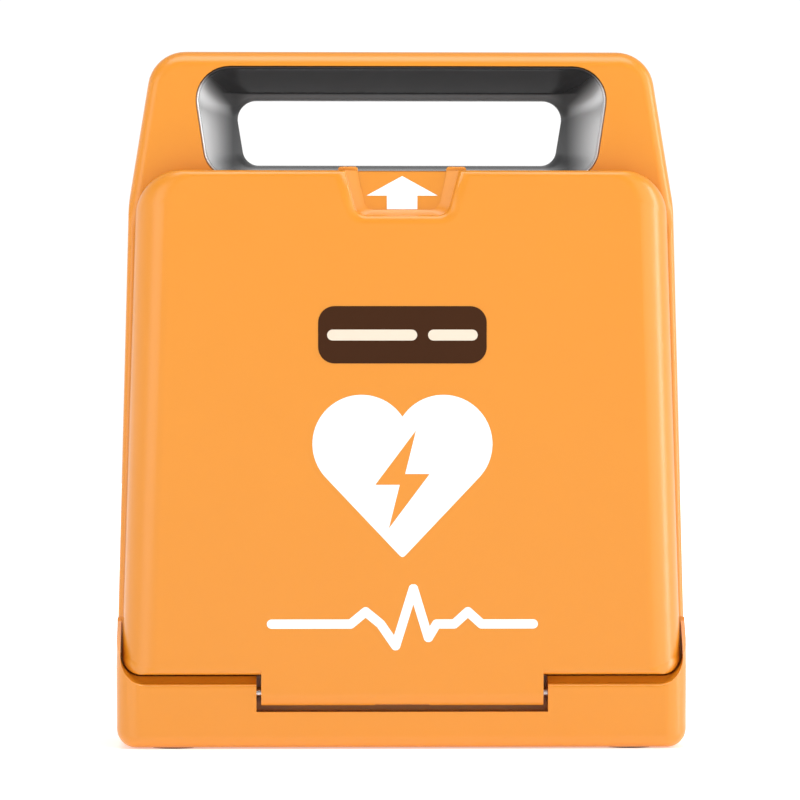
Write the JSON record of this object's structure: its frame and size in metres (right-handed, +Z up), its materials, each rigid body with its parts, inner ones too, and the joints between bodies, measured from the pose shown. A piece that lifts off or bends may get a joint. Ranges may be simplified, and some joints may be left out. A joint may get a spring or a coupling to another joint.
{
  "type": "automated external defibrillator",
  "caption": "Upright portable defibrillator, training version, with a carry handle, a fold-down front lid on a bottom hinge, a scoop latch and a rear battery pack.",
  "frame": {"origin": "middle of the plane that the unit stands on, under the centre of its bounding box", "axes": "+Z up through the handle, the lid faces -Y, +X to the right as seen from the front"},
  "size_m": [0.21, 0.078, 0.257],
  "materials": {
    "orange_shell": "satin moulded, fine texture",
    "dark_trim": "gloss moulded",
    "grey_plastic": "fine spark texture",
    "overlay": "printed film",
    "shock_orange": "moulded",
    "clear_ring": "frosted light guide",
    "black_plastic": "moulded",
    "battery_black": "fine texture",
    "cell_wrap": "shrink wrap",
    "green_lens": "clear lens",
    "remote_red": "dark lens",
    "pouch_foil": "laminated foil bag",
    "circuit_board": "solder mask",
    "contact_brass": "plated",
    "seal_rubber": "matt",
    "steel": "plated",
    "label_brown": "printed sticker",
    "white_print": "pad print"
  },
  "bodies": {
    "unit": {"rear_housing": "orange_shell", "front_housing": "orange_shell", "handle_trim_front": "dark_trim", "handle_trim_rear": "dark_trim", "case_gasket": "seal_rubber", "case_screws": "steel", "base_feet": "seal_rubber", "back_feet": "seal_rubber", "hinge_pins": "steel", "control_panel": "grey_plastic", "panel_overlay": "overlay", "panel_screws": "steel", "shock_button_ring": "clear_ring", "shock_button_spring": "steel", "language_button_spring": "steel", "status_lens": "green_lens", "remote_window": "remote_red", "pads_socket": "black_plastic", "pads_pouch": "pouch_foil", "speaker": "black_plastic", "main_board": "circuit_board", "board_parts": "black_plastic", "board_screws": "steel", "lid_sensor": "black_plastic", "battery_contacts": "contact_brass", "battery_harness": "black_plastic"},
    "shock_key": {"shock_button": "shock_orange"},
    "language_key": {"language_button": "black_plastic"},
    "mode_knob": {"mode_switch": "black_plastic"},
    "battery": {"battery_case": "battery_black", "battery_cover": "battery_black", "battery_cells": "cell_wrap", "battery_latch_spring": "steel"},
    "battery_catch": {"battery_latch": "orange_shell"},
    "lid": {"lid_shell": "orange_shell", "lid_liner": "grey_plastic", "lid_seal": "seal_rubber", "lid_screws": "steel", "lid_magnet": "steel", "latch_carrier": "grey_plastic", "latch_springs": "steel", "label_plate": "label_brown", "heart_symbol": "white_print", "pulse_mark": "white_print"},
    "latch": {"latch_slider": "orange_shell", "latch_arrow": "white_print"}
  },
  "joints": [
    {"name": "lid_hinge", "type": "hinge", "parent": "unit", "child": "lid", "pos_m": [0, -0.033, 0.0206], "axis": [1, 0, 0], "range_deg": [0, 90]},
    {"name": "latch_slide", "type": "slide", "parent": "lid", "child": "latch", "axis": [0, 0, 1], "range_m": [0, 0.0025], "stiffness_N_per_m": 600, "springref_m": -0.002, "deforming": ["latch_springs"]},
    {"name": "shock_press", "type": "slide", "parent": "unit", "child": "shock_key", "axis": [0, 1, 0], "range_m": [0, 0.002], "stiffness_N_per_m": 700, "springref_m": -0.002, "deforming": ["shock_button_spring"]},
    {"name": "language_press", "type": "slide", "parent": "unit", "child": "language_key", "axis": [0, 1, 0], "range_m": [0, 0.0015], "stiffness_N_per_m": 500, "springref_m": -0.002, "deforming": ["language_button_spring"]},
    {"name": "mode_slide", "type": "slide", "parent": "unit", "child": "mode_knob", "axis": [1, 0, 0], "range_m": [0, 0.008]},
    {"name": "battery_slide", "type": "slide", "parent": "unit", "child": "battery", "axis": [0, 1, 0], "range_m": [0, 0.048]},
    {"name": "battery_latch_slide", "type": "slide", "parent": "battery", "child": "battery_catch", "axis": [0, 0, -1], "range_m": [0, 0.003], "stiffness_N_per_m": 500, "springref_m": -0.002, "deforming": ["battery_latch_spring"]}
  ]
}
